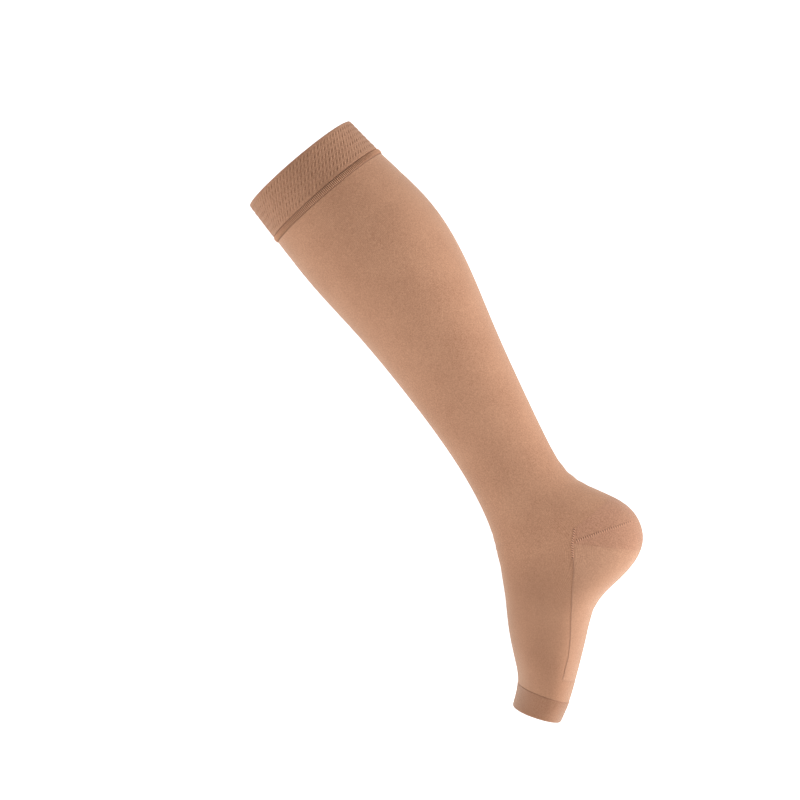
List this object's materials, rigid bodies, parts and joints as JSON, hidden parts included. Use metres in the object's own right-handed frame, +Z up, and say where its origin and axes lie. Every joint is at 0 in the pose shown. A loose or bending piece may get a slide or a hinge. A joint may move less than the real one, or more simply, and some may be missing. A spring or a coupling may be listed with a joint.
{
  "type": "compression stocking",
  "caption": "Knitted open-toe compression stocking that ends below the knee, hollow in its worn shape, with a patterned top band, heel pocket, sole and toe band.",
  "frame": {"origin": "the middle of the top opening, where the leg comes out", "axes": "+Z up, the way the wearer stands; -X towards the wearer's front and +X towards the calf and heel; Y across the leg. The shin leans back by 35 degrees about Y."},
  "size_m": [0.3218, 0.109, 0.4904],
  "materials": {
    "leg_knit": "matt fine knit with a faint soft sheen at its edges, tan",
    "band_knit": "matt patterned elastic knit, a darker tan",
    "foot_knit": "matt, slightly thicker knit, a warmer tan"
  },
  "bodies": {
    "root": {"top_band": "band_knit", "band_welt": "band_knit", "leg": "leg_knit", "heel": "foot_knit", "sole": "foot_knit", "toe_band": "band_knit"}
  },
  "joints": []
}
